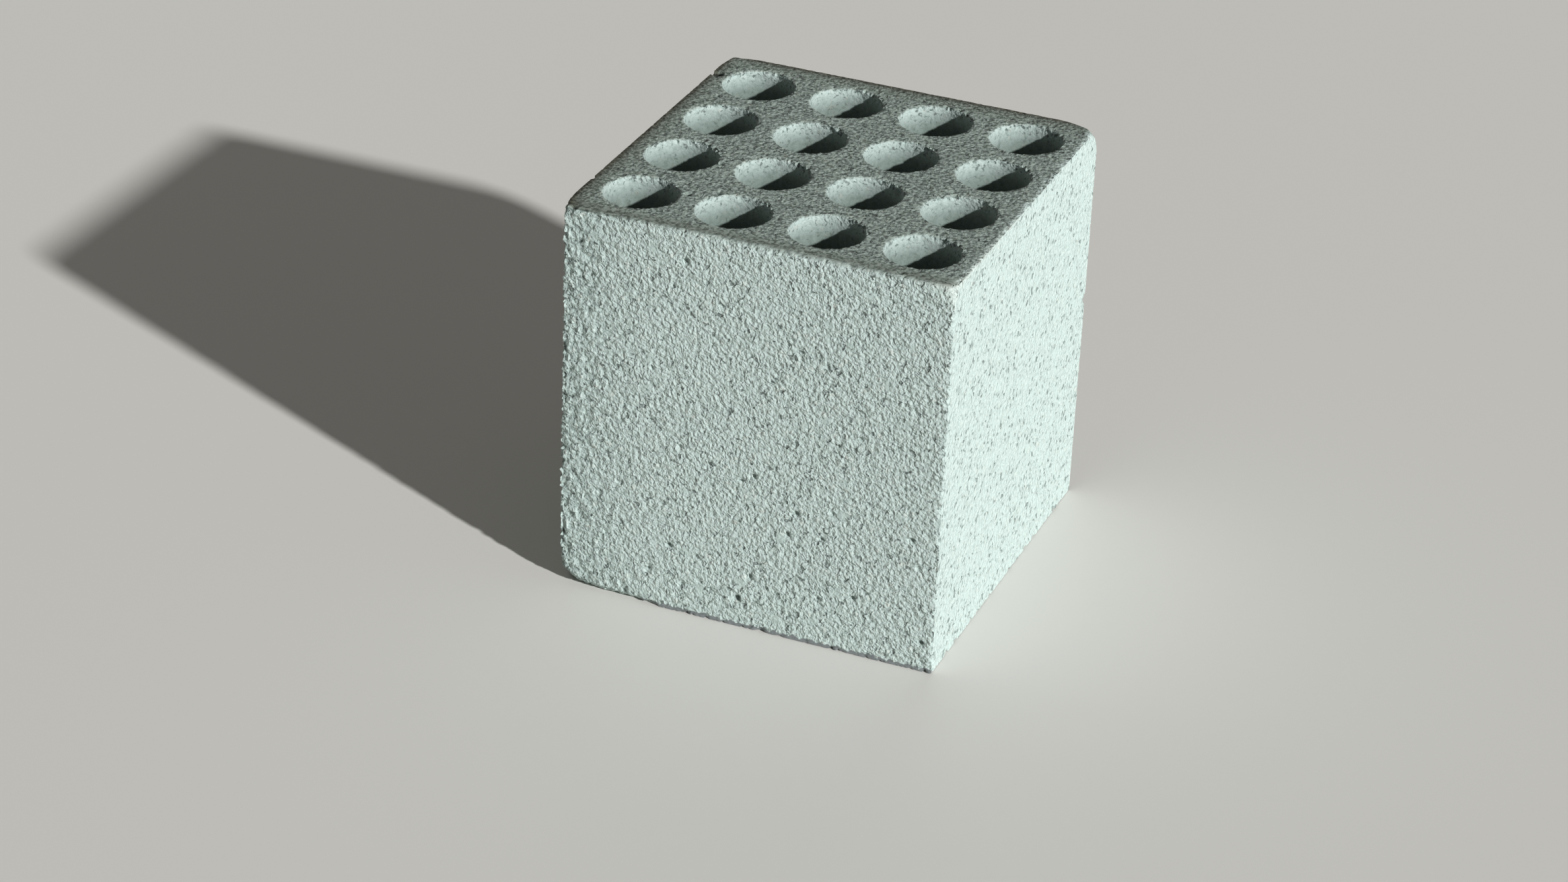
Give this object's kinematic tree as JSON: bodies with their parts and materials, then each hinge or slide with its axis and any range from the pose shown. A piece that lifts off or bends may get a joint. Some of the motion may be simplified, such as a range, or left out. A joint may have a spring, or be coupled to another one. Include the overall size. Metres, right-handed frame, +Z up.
{
  "type": "perforated cement brick",
  "caption": "Cube-like cement brick, cast in one piece, with a square grid of round holes straight through it from the top bed to the bottom bed.",
  "frame": {"origin": "centre of the bottom bed, on the surface that the brick stands on", "axes": "+X to the right along the front face, +Y towards the back, +Z up along the holes"},
  "size_m": [0.078, 0.08, 0.081],
  "materials": {
    "cement_mortar": "rough, open sand-cement surface, matt"
  },
  "bodies": {
    "root": {"perforated_brick": "cement_mortar"}
  },
  "joints": []
}
